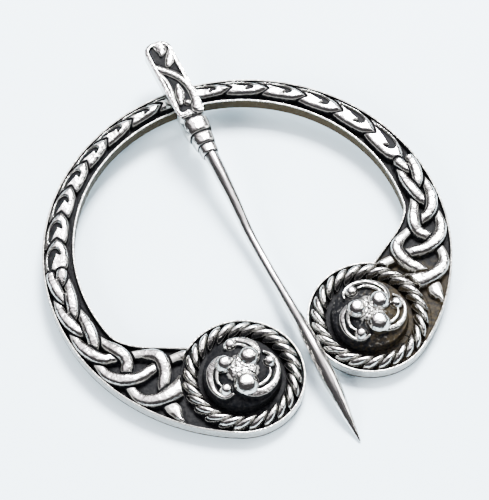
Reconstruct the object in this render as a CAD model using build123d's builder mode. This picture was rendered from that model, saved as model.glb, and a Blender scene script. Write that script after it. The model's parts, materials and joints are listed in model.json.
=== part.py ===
"""A penannular brooch in cast silver: an open hoop with two roundels, and a pin that swings on it.

The hoop is drawn lying flat with its centre at the origin, its gap towards -Y and its ornament
towards +Z. The pin is drawn about its own swinging axis. At the end both are laid down as the
brooch lies by itself: on the backs of the roundels, on the pin's loop and on the pin's point.
"""
import os
from math import atan2, cos, degrees, hypot, radians, sin, sqrt, tan

from build123d import *

# Hoop, in plan
outer_r = 22.25          # outer edge of the hoop
outer_shift = 1.2        # the outer edge's centre lies this far towards the gap
band_w = 2.8             # the band at the back, where it is narrowest
window_r = outer_r - outer_shift - band_w      # the band's inner edge, about the hoop's centre
roundel_r = 6.7
roundel_gap = 1.94       # clear width between the two roundels
shoulder_turn = 122      # where the shoulder meets the left roundel's edge, from +X
shoulder_slope = 28      # slope of the shoulder's straight inner edge
shoulder_fillet = 7.0    # from the window's circle into the shoulder
shoulder_blend = 2.1     # the same rounding for the ornament's inner bound

# Hoop, in section
plate_t = 1.8            # underside to the top of the lips
lip_w = 0.2              # narrow lip round the hoop's edge
ground_depth = 0.55      # recessed ground below the lips
relief_rise = 0.5        # crest of the ornament above the lips
back_fillet = 0.5        # rounding of the underside's edges
channel_w = 0.5          # bare channel between the inner lip and the chain of leaves
channel_end_w = 0.2      # the same channel beside the roundels

# Chain of leaves, counted clockwise from the left
leaf_count = 14
leaf_start = -73.0       # station where the chain starts, clockwise from the hoop's back
leaf_pitch = 9.3         # turn that the first leaf takes
leaf_growth = 0.32       # each leaf takes this much more than the last

# Plait of three strands between the chain and each roundel
strand_count = 3
strand_w = 1.08          # width of a strand where the plait starts
strand_swell = 0.2       # how much wider it is at the roundel
strand_gap = 0.08        # from a strand's furthest sway to the field's edge
plait_cell = 12.2        # turn between two crossings
plait_start = (-75.0, 88.0)    # left and right
plait_end = 134.0        # both sides, measured from the back
plait_steps = 19         # places where a strand's path is worked out

# Roundels
rope_r = 5.5             # middle of the rope border
rope_w = 1.15
rope_count = 24
rope_lean = 45           # lean of each lobe off the roundel's radius
rope_groove = 0.24       # dark gap between two lobes
rope_rise = 0.62         # above the lips
dome_r = 4.05
dome_wall = 1.2          # straight side of the dome above the ground
dome_rise = 2.2          # middle of the dome above the ground
whorl_rise = 0.4         # arms of the whorl above the dome
whorl_turn = 27          # station of the first large boss, from +X
boss_r = 1.02
boss_ring = 1.6          # large bosses stand this far from the roundel's middle
bead_r = 0.6
bead_ring = 3.0          # small bosses
bead_turn = 78           # from a large boss to its small one
arms = 3

# Pin
pin_station = 6.3        # where the loop sits on the band, clockwise from the back
pin_heading = 2.7        # lean of the pin off the brooch's centre line
slot_clear = 0.2         # loop to band at the nearest, as the pin swings
slot_ahead = 1.95        # from the swinging axis to the slot's ends
slot_behind = 2.1
loop_t = 0.8
loop_w = 1.2
head_w = 3.2
head_ahead = 6.85        # plate of the head beyond the axis
head_behind = 4.15       # and before it, as far as the collar
head_overlap = 0.2       # the plate's rounded end runs this far over the collar
head_t = 1.0
head_round = 1.3         # corners of the plate
head_border = 0.42
head_relief = 0.34       # border and scroll above the plate's ground
ring_gap = 0.12          # groove between two rings of the collar
tip_clear = 0.06         # point to the surface that the brooch lies on

# Tables. Lengths are shares of the sizes named in each heading.
# Leaf: along is a share of the leaf's turn, across and half_w shares of the field's half width
leaf_back = [            # along, across: the leaf's outer side, from its tail to the channel
    (-0.20, 0.94),
    (0.30, 0.91),
    (0.70, 0.76),
    (0.97, 0.42),
    (1.04, -0.05),
    (1.01, -0.50),
    (0.93, -0.97),
]
leaf_front = [           # along, across: from the channel back to the tail
    (0.09, -0.97),
    (0.10, -0.70),
    (0.20, -0.30),
    (0.14, 0.20),
    (0.01, 0.56),
    (-0.20, 0.84),
]
leaf_hollow = [          # along, across, half_w: the comma sunk into each leaf
    (0.14, 0.46, 0.04),
    (0.34, 0.43, 0.12),
    (0.52, 0.32, 0.21),
    (0.63, 0.10, 0.20),
    (0.64, -0.22, 0.05),
]
# Arm of the whorl: turn in degrees from its large boss, out and half_w shares of the dome's radius
whorl_arm = [            # turn, out, half_w
    (-22, 0.58, 0.04),
    (0, 0.69, 0.05),
    (20, 0.765, 0.055),
    (40, 0.85, 0.055),
    (58, 0.91, 0.05),
    (74, 0.92, 0.045),
    (87, 0.89, 0.04),
    (96, 0.80, 0.03),
]
whorl_leaf = [           # the shorter leaf inside each arm
    (6, 0.52, 0.06),
    (22, 0.62, 0.065),
    (38, 0.69, 0.06),
    (52, 0.72, 0.045),
    (62, 0.70, 0.025),
]
# Scroll on the head: along from the axis and across, shares of the plate's width
head_scroll = [          # along, across, half_w
    (1.25, -0.46, 0.08),
    (1.08, -0.34, 0.09),
    (0.71, 0.01, 0.10),
    (0.35, 0.25, 0.10),
    (-0.12, 0.38, 0.10),
    (-0.62, 0.38, 0.12),
    (-1.00, 0.28, 0.14),
]
head_curl = [
    (2.05, 0.12, 0.16),
    (1.88, 0.12, 0.15),
    (1.70, 0.10, 0.12),
    (1.56, 0.03, 0.05),
]
head_stem = [
    (1.62, 0.40, 0.06),
    (1.42, 0.33, 0.11),
    (1.22, 0.20, 0.11),
    (1.06, 0.07, 0.07),
]
head_vine = [
    (0.80, -0.37, 0.05),
    (0.46, -0.25, 0.08),
    (0.05, -0.23, 0.07),
    (-0.40, -0.33, 0.06),
    (-0.75, -0.36, 0.05),
]
head_leaf = [
    (0.10, 0.13, 0.04),
    (-0.12, 0.06, 0.11),
    (-0.34, -0.04, 0.11),
    (-0.62, -0.14, 0.05),
]
head_bead = (-0.74, 0.04, 0.12)      # along, across, radius
# Collar: from the head towards the point
collar_rings = [         # length, first radius, last radius
    (1.95, 1.45, 1.34),
    (1.50, 1.22, 1.10),
    (1.20, 1.02, 0.95),
]
# Shank: distance from the axis, sideways bow, height above the hoop's back, radius. It starts
# inside the collar. The point's height follows from the surface that the brooch lies on.
shank = [                # reach, bow, height, radius
    (7.97, 0.03, 2.62, 0.78),
    (10.97, 0.07, 2.35, 0.70),
    (14.57, 0.06, 1.85, 0.58),
    (18.97, -0.03, 1.12, 0.51),
    (23.77, 0.04, 1.00, 0.53),
    (29.17, 0.04, 1.70, 0.60),
    (34.57, -0.08, 2.50, 0.74),
    (39.17, -0.06, 1.80, 0.86),
    (42.77, -0.05, 1.05, 0.60),
    (46.17, 0.00, 0.40, 0.12),
]

# Levels above the hoop's back
ground_z = plate_t - ground_depth
crest_z = plate_t + relief_rise
rope_z = plate_t + rope_rise

# Places that follow from the sizes
outer_centre = Vector(0, -outer_shift)
roundel_x = roundel_gap / 2 + roundel_r
roundel_y = -outer_shift - sqrt((outer_r - roundel_r) ** 2 - roundel_x**2)
roundel_centres = [Vector(-roundel_x, roundel_y), Vector(roundel_x, roundel_y)]


on_ground = (Align.CENTER, Align.CENTER, Align.MIN)


def at_station(station, radius):
    """The point on a circle about the hoop's centre, at a station clockwise from the back."""
    return Vector(radius * sin(radians(station)), radius * cos(radians(station)))


def outer_at(station):
    """Distance from the hoop's centre to its outer edge."""
    turn = radians(station)
    return -outer_shift * cos(turn) + sqrt(outer_r**2 - (outer_shift * sin(turn)) ** 2)


def shoulder_point(side):
    """Where the shoulder's inner edge meets the roundel: side is -1 on the left, 1 on the right."""
    turn = radians(shoulder_turn)
    return Vector(side * (roundel_x - roundel_r * cos(turn)), roundel_y + roundel_r * sin(turn))


def inner_at(station):
    """Distance from the hoop's centre to the band's inner edge: circle and shoulder, blended."""
    slope = radians(shoulder_slope)
    corner = shoulder_point(1)
    fall = -cos(radians(abs(station)) + slope)
    if fall <= 0:
        return window_r
    line = (corner.X * sin(slope) - corner.Y * cos(slope)) / fall
    near = max(0, shoulder_blend - abs(window_r - line))
    return min(window_r, line) - near**2 / (4 * shoulder_blend)


def field_bounds(station):
    """Distances from the hoop's centre between which the ornament lies."""
    share = min(1, max(0, (abs(station) - 90) / (plait_end - 90)) * 2)
    channel = channel_w + share * (channel_end_w - channel_w)
    return inner_at(station) + lip_w + channel, outer_at(station) - lip_w


def field_half(station):
    inner, outer = field_bounds(station)
    return (outer - inner) / 2


def field_point(station, across):
    """A place on the ornament's field: across runs from -1 at the channel to 1 at the outer lip."""
    inner, outer = field_bounds(station)
    return at_station(station, (inner + outer) / 2 + across * (outer - inner) / 2)


def stroke(rows):
    """A face that follows rows of (x, y, half width), with a smooth edge on each side."""
    middles = [Vector(x, y) for x, y, _ in rows]
    left, right = [], []
    for i, (x, y, half) in enumerate(rows):
        heading = (middles[min(i + 1, len(rows) - 1)] - middles[max(i - 1, 0)]).normalized()
        aside = Vector(-heading.Y, heading.X) * half
        left.append(middles[i] + aside)
        right.append(middles[i] - aside)
    with BuildSketch() as face:
        with BuildLine() as edge:
            Spline(*left)
            Line(left[-1], right[-1])
            Spline(*right)
            Line(right[0], left[0])
        make_face(edge.edges())
    return face.sketch


def window_outline():
    """The opening inside the band, down to the shoulders above the roundels."""
    slope = radians(shoulder_slope)
    with BuildSketch() as window:
        Circle(window_r)
        for side in (-1, 1):
            start = shoulder_point(side)
            far = start + Vector(side * cos(slope), sin(slope)) * window_r
            with BuildLine():
                Polyline(start, far, (far.X, -window_r), (start.X, -window_r), close=True)
            make_face(mode=Mode.SUBTRACT)
        corners = window.vertices().filter_by(lambda v: v.Y < -window_r / 10).sort_by(Axis.X)
        fillet([corners[0], corners[-1]], shoulder_fillet)
    return window.sketch


def hoop_outline():
    """The hoop in plan: the band between two circles that are not concentric, and the roundels."""
    window = window_outline()
    with BuildSketch() as outline:
        with Locations(outer_centre):
            Circle(outer_r)
        add(window, mode=Mode.SUBTRACT)
        with BuildLine():
            beyond = [outer_centre + (centre - outer_centre) * 2 for centre in roundel_centres]
            Polyline(outer_centre, *beyond, close=True)
        make_face(mode=Mode.SUBTRACT)
        with Locations(*roundel_centres):
            Circle(roundel_r)
    return outline.sketch


def leaf_turns():
    """Station where each leaf of the chain starts, and the turn that it takes."""
    station = leaf_start
    for i in range(leaf_count):
        turn = leaf_pitch + i * leaf_growth
        yield station, turn
        station += turn


def make_leaf(station, turn):
    """One leaf of the chain: a hooked blade between two smooth sides, with a comma sunk into it."""
    back = [field_point(station + along * turn, across) for along, across in leaf_back]
    front = [field_point(station + along * turn, across) for along, across in leaf_front]
    hollow = []
    for along, across, half_w in leaf_hollow:
        place = station + along * turn
        point = field_point(place, across)
        hollow.append((point.X, point.Y, half_w * field_half(place)))
    with BuildSketch() as leaf:
        with BuildLine() as edge:
            Spline(*back)
            Line(back[-1], front[0])
            Spline(*front)
            Line(front[-1], back[0])
        make_face(edge.edges())
        add(stroke(hollow), mode=Mode.SUBTRACT)
    return leaf.sketch


def plait_rows(side, strand):
    """One strand of a plait: it sways across the field and swells towards the roundel."""
    start = plait_start[0 if side < 0 else 1]
    for i in range(plait_steps):
        share = i / (plait_steps - 1)
        station = start + share * (side * plait_end - start)
        phase = abs(station - start) / (strand_count * plait_cell) + strand / strand_count
        half = strand_w * (1 + strand_swell * share) / 2
        sway = 1 - (half + strand_gap) / field_half(station)
        point = field_point(station, sway * cos(2 * 180 * phase * radians(1)))
        yield point.X, point.Y, half


def ornament_sketch(ground):
    """The chain of leaves and both plaits, kept to the recessed ground and off the roundels."""
    with BuildSketch() as ornament:
        for station, turn in leaf_turns():
            add(make_leaf(station, turn))
        for side in (-1, 1):
            for strand in range(strand_count):
                add(stroke(list(plait_rows(side, strand))))
        with Locations(*roundel_centres):
            Circle(rope_r + rope_w / 2 + rope_groove, mode=Mode.SUBTRACT)
        add(ground, mode=Mode.INTERSECT)
    return ornament.sketch


def make_dome(rise):
    """A short round wall under a shallow cap of a sphere, its pole turned away from the cap."""
    cap = dome_rise - dome_wall
    ball = (dome_r**2 + cap**2) / (2 * cap)
    with BuildPart() as dome:
        with Locations((0, 0, ground_z + dome_rise + rise - ball)):
            Sphere(ball, rotation=(0, 90, 0))
        with Locations((0, 0, ground_z)):
            Cylinder(dome_r, dome_rise + rise, align=on_ground, mode=Mode.INTERSECT)
    return dome.part


def turned_rows(table, first):
    """An arm's table turned about the middle of the roundel, from its large boss."""
    for turn, out, half_w in table:
        angle = radians(first + turn)
        yield dome_r * out * cos(angle), dome_r * out * sin(angle), dome_r * half_w


def dome_height(out):
    """Height of the dome at a distance from the roundel's middle, as a shallow bowl shape."""
    return ground_z + dome_rise - (dome_rise - dome_wall) * (out / dome_r) ** 2


def make_whorl():
    """The domed middle of a roundel, with three arms that curl from large bosses round small ones."""
    bosses = [whorl_turn + 360 / arms * i for i in range(arms)]
    with BuildPart() as whorl:
        with BuildSketch(Plane.XY.offset(ground_z)):
            for first in bosses:
                add(stroke(list(turned_rows(whorl_arm, first))))
                add(stroke(list(turned_rows(whorl_leaf, first))))
        extrude(amount=dome_rise + whorl_rise)
        add(make_dome(whorl_rise), mode=Mode.INTERSECT)
        add(make_dome(0))
        for turn, ring, radius in ((0, boss_ring, boss_r), (bead_turn, bead_ring, bead_r)):
            with Locations(Location((0, 0, dome_height(ring)))):
                with PolarLocations(ring, arms, start_angle=whorl_turn + turn):
                    Sphere(radius)
    return whorl.part


def make_rope():
    """The rope border of a roundel: leaning lobes in a ring."""
    lobe_w = 2 * 180 * radians(1) * rope_r / rope_count * cos(radians(rope_lean)) - rope_groove
    lobe_len = rope_w / cos(radians(rope_lean)) + lobe_w / 2
    with BuildPart() as rope:
        with BuildSketch(Plane.XY.offset(ground_z)):
            with PolarLocations(rope_r, rope_count):
                SlotOverall(lobe_len, lobe_w, rotation=-rope_lean)
        extrude(amount=rope_z - ground_z)
        chamfer(rope.faces().group_by(Axis.Z)[-1].edges(), lobe_w / 4)
    return rope.part


def make_hoop():
    """The cast hoop: plate with lips, roundels, and the raised ornament."""
    outline = hoop_outline()
    whorl = make_whorl()
    rope = make_rope()
    with BuildSketch() as ground:
        add(outline)
        offset(amount=-lip_w)
    ornament = ornament_sketch(ground.sketch)
    with BuildPart() as hoop:
        add(outline)
        extrude(amount=plate_t)
        fillet(hoop.faces().sort_by(Axis.Z)[0].edges(), back_fillet)
        with BuildSketch(Plane.XY.offset(ground_z)):
            add(ground.sketch)
        extrude(amount=ground_depth, mode=Mode.SUBTRACT)
        with BuildSketch(Plane.XY.offset(ground_z)):
            add(ornament)
        extrude(amount=crest_z - ground_z)
        with Locations(*roundel_centres):
            add(whorl)
            add(rope)
    return hoop.part


# The band's section under the loop fixes the swinging axis and how tall the slot is
band_inner = window_r
band_outer = outer_at(pin_station)
axis_r = (band_inner + band_outer) / 2
axis_z = crest_z / 2
reach_low = hypot((band_outer - band_inner) / 2, axis_z) - (sqrt(2) - 1) * back_fillet
reach_lip = hypot((band_outer - band_inner) / 2, plate_t - axis_z)
reach_crest = hypot((band_outer - band_inner) / 2 - lip_w, crest_z - axis_z)
slot_half = max(reach_low, reach_lip, reach_crest) + slot_clear
pin_plane = Plane(
    origin=(*tuple(at_station(pin_station, axis_r))[:2], axis_z),
    x_dir=(cos(radians(pin_heading)), -sin(radians(pin_heading)), 0),
    z_dir=(0, 0, 1),
)
side_plane = Plane(origin=(0, 0, 0), x_dir=(0, 1, 0), z_dir=(1, 0, 0))
loop_base = -slot_half - loop_t

# The surface that the brooch lies on, seen from the hoop: it touches the loop and the roundels
loop_y = pin_plane.origin.Y - slot_behind * cos(radians(pin_heading))
heel_y = roundel_y - roundel_r + back_fillet
rest_tilt = atan2(-axis_z - loop_base, loop_y - heel_y)


def head_rows(table):
    for along, across, half_w in table:
        yield across * head_w, along * head_w, half_w * head_w


def make_plate():
    """The head's plate, with a border and a scroll raised over a sunk ground."""
    with BuildSketch() as plan:
        with Locations((0, (head_ahead - head_behind - head_overlap) / 2)):
            RectangleRounded(head_w, head_ahead + head_behind + head_overlap, head_round)
    with BuildSketch() as field:
        add(plan.sketch)
        offset(amount=-head_border)
    with BuildSketch() as scroll:
        for table in (head_scroll, head_curl, head_stem, head_vine, head_leaf):
            add(stroke(list(head_rows(table))))
        along, across, radius = head_bead
        with Locations((across * head_w, along * head_w)):
            Circle(radius * head_w)
        add(field.sketch, mode=Mode.INTERSECT)
    with BuildPart() as plate:
        with BuildSketch(Plane.XY.offset(slot_half)):
            add(plan.sketch)
        extrude(amount=head_t + head_relief)
        chamfer(plate.faces().sort_by(Axis.Z)[-1].edges(), head_border / 3)
        with BuildSketch(Plane.XY.offset(slot_half + head_t)):
            add(field.sketch)
            add(scroll.sketch, mode=Mode.SUBTRACT)
        extrude(amount=head_relief, mode=Mode.SUBTRACT)
    return plate.part


def make_loop():
    """The narrow loop behind the plate, with the slot that the band runs through."""
    with BuildPart() as loop:
        with BuildSketch(side_plane) as side:
            with BuildLine():
                Polyline(
                    (-head_behind, slot_half + head_t / 2),
                    (-head_behind, 0),
                    (-slot_behind - loop_t, loop_base),
                    (slot_ahead + loop_t, loop_base),
                    (slot_ahead + loop_t, slot_half + head_t / 2),
                    close=True,
                )
            make_face()
            fillet(side.vertices().group_by(Axis.Y)[0], loop_t)
            with Locations(((slot_ahead - slot_behind) / 2, 0)):
                RectangleRounded(slot_ahead + slot_behind, 2 * slot_half, loop_t, mode=Mode.SUBTRACT)
        extrude(amount=loop_w / 2, both=True)
    return loop.part


def make_collar():
    """Three stepped rings between the head and the shank, parted by grooves."""
    middle = shank[0][2] - axis_z
    with BuildPart() as collar:
        with BuildSketch(side_plane):
            place = -head_behind
            for length, first, last in collar_rings:
                bevel = ring_gap
                with BuildLine():
                    Polyline(
                        (place, middle),
                        (place, middle + first - bevel),
                        (place - bevel, middle + first),
                        (place - length + bevel, middle + last),
                        (place - length, middle + last - bevel),
                        (place - length, middle),
                        close=True,
                    )
                make_face()
                place -= length
        revolve(axis=Axis((0, 0, middle), (0, 1, 0)))
    return collar.part


def make_shank():
    """The shank: round sections strung on a gently bent line, drawn out to the point."""
    places = [Vector(bow, -reach, height - axis_z) for reach, bow, height, _ in shank]
    surface = (heel_y - pin_plane.origin.Y + shank[-1][0]) * tan(rest_tilt)
    places[-1].Z = surface + tip_clear + shank[-1][3] - axis_z
    path = Spline(*places, tangents=[(0, -1, 0), places[-1] - places[-2]])
    with BuildPart() as shank_part:
        for place, (_, _, _, radius) in zip(places, shank):
            share = path.param_at_point(place)
            with BuildSketch(Plane(origin=place, z_dir=path % share)):
                Circle(radius)
        loft()
    return shank_part.part


def make_pin():
    """The pin in one piece: plate, loop, collar and shank."""
    with BuildPart() as pin:
        add(make_plate())
        add(make_loop())
        add(make_collar())
        add(make_shank())
    return pin.part.moved(pin_plane.location)


def rest_location():
    """How the brooch lies: tilted about X until roundels and loop touch the surface together."""
    return Location((0, 0, 0), (degrees(rest_tilt), 0, 0))


hoop_part = make_hoop().moved(rest_location())
pin_part = make_pin().moved(rest_location())
box = Compound(children=[hoop_part, pin_part]).bounding_box()
settle = Location((-box.center().X, -box.center().Y, -box.min.Z))

with BuildPart() as hoop:
    add(hoop_part.moved(settle))
with BuildPart() as pin:
    add(pin_part.moved(settle))
hoop.part.label = "hoop"
pin.part.label = "pin"

os.makedirs("parts", exist_ok=True)
export_step(hoop.part, "parts/hoop.step")
export_step(pin.part, "parts/pin.step")
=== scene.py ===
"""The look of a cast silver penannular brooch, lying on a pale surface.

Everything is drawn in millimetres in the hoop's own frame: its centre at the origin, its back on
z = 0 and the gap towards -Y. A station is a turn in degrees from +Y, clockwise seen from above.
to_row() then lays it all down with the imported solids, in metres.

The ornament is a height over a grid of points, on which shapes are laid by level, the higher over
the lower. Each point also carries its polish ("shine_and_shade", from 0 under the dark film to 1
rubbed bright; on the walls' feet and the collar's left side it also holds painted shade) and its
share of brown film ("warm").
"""

import json
from math import atan2, cos, radians, sin, sqrt, tan

import bpy
import numpy as np
from mathutils import Matrix, Vector


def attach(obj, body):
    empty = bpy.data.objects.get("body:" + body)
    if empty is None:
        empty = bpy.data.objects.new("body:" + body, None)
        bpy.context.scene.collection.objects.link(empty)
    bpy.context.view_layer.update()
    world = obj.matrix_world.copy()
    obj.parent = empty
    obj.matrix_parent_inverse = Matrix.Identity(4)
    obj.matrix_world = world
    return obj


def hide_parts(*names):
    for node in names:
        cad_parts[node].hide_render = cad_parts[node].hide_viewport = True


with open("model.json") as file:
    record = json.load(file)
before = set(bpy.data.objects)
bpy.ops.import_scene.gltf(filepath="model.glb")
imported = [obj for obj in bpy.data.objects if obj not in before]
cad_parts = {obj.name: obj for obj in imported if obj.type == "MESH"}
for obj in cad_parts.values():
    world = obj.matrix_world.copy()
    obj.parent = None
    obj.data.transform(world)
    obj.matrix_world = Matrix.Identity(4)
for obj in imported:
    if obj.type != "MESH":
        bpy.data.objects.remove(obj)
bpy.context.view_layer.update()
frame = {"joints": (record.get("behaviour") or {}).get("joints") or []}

MM = 0.001

# Hoop, in plan
outer_r = 22.25
outer_shift = 1.2        # the outer circle's centre lies this far towards the gap
band_w = 2.8             # at the back, where the band is narrowest
window_r = outer_r - outer_shift - band_w
roundel_r = 6.7
roundel_gap = 1.94
shoulder_turn = 122      # the inner edge leaves the roundel here, as a line of this slope,
shoulder_slope = 28      # and blends into the window's circle over this length
shoulder_blend = 2.1
band_end = 151           # station inside a roundel at which the band's half ends

# Hoop, in section
plate_t = 1.8
lip_w = 0.2
lip_round = 0.07
lip_fall = 0.08          # width of the steep fall from a lip to the ground
lip_film = 0.03          # the film reaches this far up onto the lip
lip_guard = 0.02         # nothing is laid nearer to a lip than this
ground_depth = 0.55
relief_rise = 0.5
back_fillet = 0.5
back_points = 8
wall_tuck = 0.001        # a wall starts at least this far below the surface beside it
band_rings, band_points = 730, 96
band_sink = (0.12, 0.15, 0.3)          # from this far inside the roundel, over this length, this deep
channel_w = 0.5
channel_end_w = 0.2
outer_fall = 0.28        # the ornament's crest slopes down this much towards the outer edge
ground_z = plate_t - ground_depth
crest_z = plate_t + relief_rise
ground_level, shut_level = -9.0, 9.0   # of bare ground, and of lips, on which nothing is laid
groove_w = 0.30          # dark groove round each raised shape
groove_depth = 0.22      # in a lower shape
groove_bare = 0.04       # in bare ground
full_crown_w = 0.3       # half width from which a shape has its whole crown
level_step = 0.01        # only shapes that lie higher by this cut a groove

# Polish
edge_film = 0.65         # share of its polish that a shape loses at its very edge
edge_film_w = 0.17
groove_film, groove_film_ease = 0.7, 0.3   # share of a groove's width that stays dark, and of its fading
inner_lip_shine, outer_lip_shine, rim_polish = 0.5, 0.45, 0.55
inner_wall_shine = 0.24
outer_wall_shade_and_shine = (0.12, 0.58)        # at its foot, low as painted shade where it turns under to the floor, and above
wall_foot_shade_change = (0.4, 0.4)         # height up to which the foot's painted shade holds, and run of the change
back_shine = 0.8
band_brown = (0.05, 0.7, 100, 36)      # everywhere; more on the right half, from a station, over a run
roundel_brown = (0.3, 0.57, 0.2, 0.5)  # left; right, more on its outer side, turn of that side from +X
pin_brown = 0.1
band_grit = 0.31         # polish of bare ground, times its brown film

# Ornament of the band
leaf_count = 14
leaf_start = -73.0
leaf_pitch = 9.3
leaf_growth = 0.32
leaf_slope = 0.14        # a leaf's rise from its root to its tip
leaf_sink = 0.06
leaf_bevel = 0.55        # width over which a leaf rises from its edge
leaf_crown = (0.28, 2.4)               # fall from the middle to the edge, and its power
leaf_cut = 0.4           # depth of a leaf's hollow
leaf_steps = 30
hollow_edge, hollow_ramp = 0.05, 0.13  # a hollow starts this far outside its edge, and its wall's width
hollow_film = (0.93, 0.03, 0.10)       # share of polish lost, from how far outside, over which width
strand_count = 3
strand_w = 1.04
strand_swell = 0.25      # share by which a strand widens towards the roundel
strand_over = 0.14       # and where it goes over
strand_sway = 0.72       # power of the sway; below 1 it makes the crossings shorter
strand_sink = 0.1
strand_dive = 0.2        # a strand's crest rises and sinks this much as it goes over and under
strand_gap = 0.08
strand_film = (0.52, 0.45, 0.5)        # share of polish lost under another, from which depth, over which
strand_crown = (0.34, 3.6)
strand_foot = (0.86, 0.07, 0.4)        # share of its run at which it flares, over which share, by how much
strand_tip = (0.94, 0.06, 0.9)         # the same for its narrowing to a tip
strand_steps = 180
plait_cell = 12.2
plait_start = (-75.0, 88.0)
plait_end = 134.0
strand_end = 137.0       # the strands run on under the roundel's border

# Roundels
rope_r = 5.5
rope_w = 1.66            # foot to foot
rope_count = 24
rope_lean = 52
rope_rise = 0.62
rope_fill = 0.92         # share of its pitch that a lobe takes up
rope_foot = 0.12         # the lobes start this far below the ground
rope_point = (2.4, 0.45)               # powers of the lobes' width across the border
rope_arch, rope_swell = 0.3, 3.2       # powers of their height across the border and along it
rope_film = 0.16         # share of its half width over which a lobe's polish fades at the slit
rim_joint = {-1: (126, 232), 1: (-52, 54)}       # turns between which the band joins a roundel
rim_ease = 6             # turn over which the rim rises out of the joint
joint_sink = 0.06        # depth of the roundel's edge below the band's ground there
dome_r = 4.05
dome_wall = 1.2
dome_wall_w = 0.14       # the wall's width in plan
dome_rise = 2.2
border_start = 0.2       # the border's rings start this far out from the dome
roundel_turns = 576
dome_rings, dome_wall_rings, border_rings = 84, 8, 54
middle_r = 0.02          # radius of the first ring and the last
dome_shine = {-1: 0.2, 1: 0.27}
border_shine = 0.08
whorl_rise = 0.42
whorl_crown = (0.16, 2)
whorl_steps = 50
boss_rise = 0.98
boss_power = 3.6         # of a boss's fall from its middle
boss_film = (0.9, 0.84, 0.14)          # share of polish lost, from which share of the radius, over which
boss_ring, boss_ring_shine = 0.1, 0.1  # width and polish of the dark ring round a boss
bead_r = 0.72
bead_rise = 0.7
hub_r = 2.0
hub_ease = 0.9
hub_rise = 0.35
hub_pits = 0.035
hub_shine = {-1: 0.74, 1: 0.2}
hub_pit_shine = 0.16

# Pin
pin_station = 6.3
pin_heading = 2.7
slot_half = 1.81
slot_ahead = 1.95
slot_behind = 2.1
loop_t = 0.8
loop_w = 1.2
head_w = 3.2
head_ahead = 6.85
head_behind = 4.15
head_overlap = 0.2
head_t = 1.0
head_round = 1.3         # radius of the plate's corners in plan
head_border = 0.46
head_border_fall = (0.08, 0.3)         # the border slopes down this much to the plate's edge, from there
head_guard = 0.04        # shapes run this far up onto the border
head_side = 0.16         # the plate's straight side starts this far below its border
head_slack = 0.003       # the plate stands out this much past its nominal half width
head_side_shine = 0.9
head_rings, head_points, head_steps = 320, 120, 50
head_relief = 0.34
head_crown = (0.22, 2.4)
head_swell = 1.45        # width of the scrolls against their tables
head_boss = (1.35, 0.25) # length of the hammered end towards the collar, and of its slope
head_blow = 0.05         # height of its hammer marks
head_blow_shine = (0.68, 0.5)          # polish on average, and between highs and lows
head_dip = (0.08, 0.34, 0.3)           # dark dip before the collar: its start, run and depth
head_dent = 0.012        # depth of the small dents in all that is polished
collar_square = 2.9      # power of the collar rings' squared section
collar_gap = 0.08        # between two rings
collar_round = (0.16, 6) # fall of a ring towards its ends, and its power
collar_film = (0.9, 8)   # polish lost towards its ends, and its power
collar_left_shade = (0.7, 0.35, 0.5)        # painted shade on the left side: polish taken off, from which share across, over which
collar_core = (1.0, 0.7, 0.2)          # radius towards the head and the shank, and polish
collar_steps, collar_points = 30, 96
shank_steps, shank_points = 260, 48

# Tables of shapes. Leaf: along in shares of the leaf's turn, across in shares of the field's half
# width, which runs from -1 at the channel to 1 at the outer lip
leaf_back = np.array([(-0.20, 0.94), (0.25, 0.92), (0.62, 0.76), (0.90, 0.44), (1.12, -0.05)])
leaf_front = np.array([
    (1.12, -0.05), (0.99, -0.50), (0.84, -0.82), (0.58, -0.97), (0.24, -0.97), (0.0, -0.80),
    (-0.12, -0.40), (-0.17, 0.0), (-0.21, 0.60),
])
leaf_hollow = np.array([  # along, across, half width, in the same shares
    (0.02, 0.54, 0.12), (0.28, 0.48, 0.24), (0.52, 0.33, 0.34), (0.66, 0.04, 0.32), (0.54, -0.32, 0.12),
])
# Whorl arms: turn as a share of the way from boss to bead, out and half width in dome radii
whorl_arm = np.array([
    (-0.25, 0.38, 0.10), (0.0, 0.52, 0.24), (0.22, 0.71, 0.20), (0.46, 0.84, 0.125),
    (0.74, 0.91, 0.08), (0.97, 0.92, 0.06), (1.13, 0.87, 0.05), (1.25, 0.76, 0.035),
])
whorl_leaf = np.array([
    (0.05, 0.50, 0.09), (0.26, 0.62, 0.08), (0.48, 0.69, 0.07), (0.67, 0.73, 0.055), (0.82, 0.72, 0.035),
])
# Bosses of each roundel: turn, reach and radius of a large boss, turn and reach of its arm's bead
whorl_bosses = {
    -1: [(36, 1.5, 1.22, 86, 3.25), (137, 1.9, 1.08, 207, 2.85), (257, 1.8, 1.38, 352, 3.0)],
    1: [(18, 1.35, 1.2, 104, 2.95), (153, 1.45, 1.15, 222, 3.0), (272, 1.8, 1.28, 350, 2.9)],
}
whorl_swell = {-1: (1.0, 0.6), 1: (0.66, 0.6)}   # width of arm and leaf against the tables
# Head: along from the axis, across and half width, in plate widths
head_scroll = np.array([
    (1.25, -0.46, 0.08), (1.08, -0.34, 0.09), (0.71, 0.01, 0.10), (0.35, 0.25, 0.10),
    (-0.12, 0.38, 0.10), (-0.62, 0.38, 0.12), (-1.00, 0.28, 0.14),
])
head_curl = np.array([(2.05, 0.12, 0.16), (1.88, 0.12, 0.15), (1.70, 0.10, 0.12), (1.56, 0.03, 0.05)])
head_stem = np.array([(1.62, 0.40, 0.06), (1.42, 0.33, 0.11), (1.22, 0.20, 0.11), (1.06, 0.07, 0.07)])
head_vine = np.array([
    (0.80, -0.37, 0.05), (0.46, -0.29, 0.06), (0.05, -0.28, 0.055), (-0.40, -0.36, 0.05),
    (-0.75, -0.38, 0.05),
])
head_leaf = np.array([
    (0.12, 0.03, 0.04), (-0.10, -0.02, 0.10), (-0.34, -0.09, 0.105), (-0.62, -0.18, 0.05),
])
head_bead = (-0.66, 0.05, 0.14)        # along, across, radius
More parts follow.
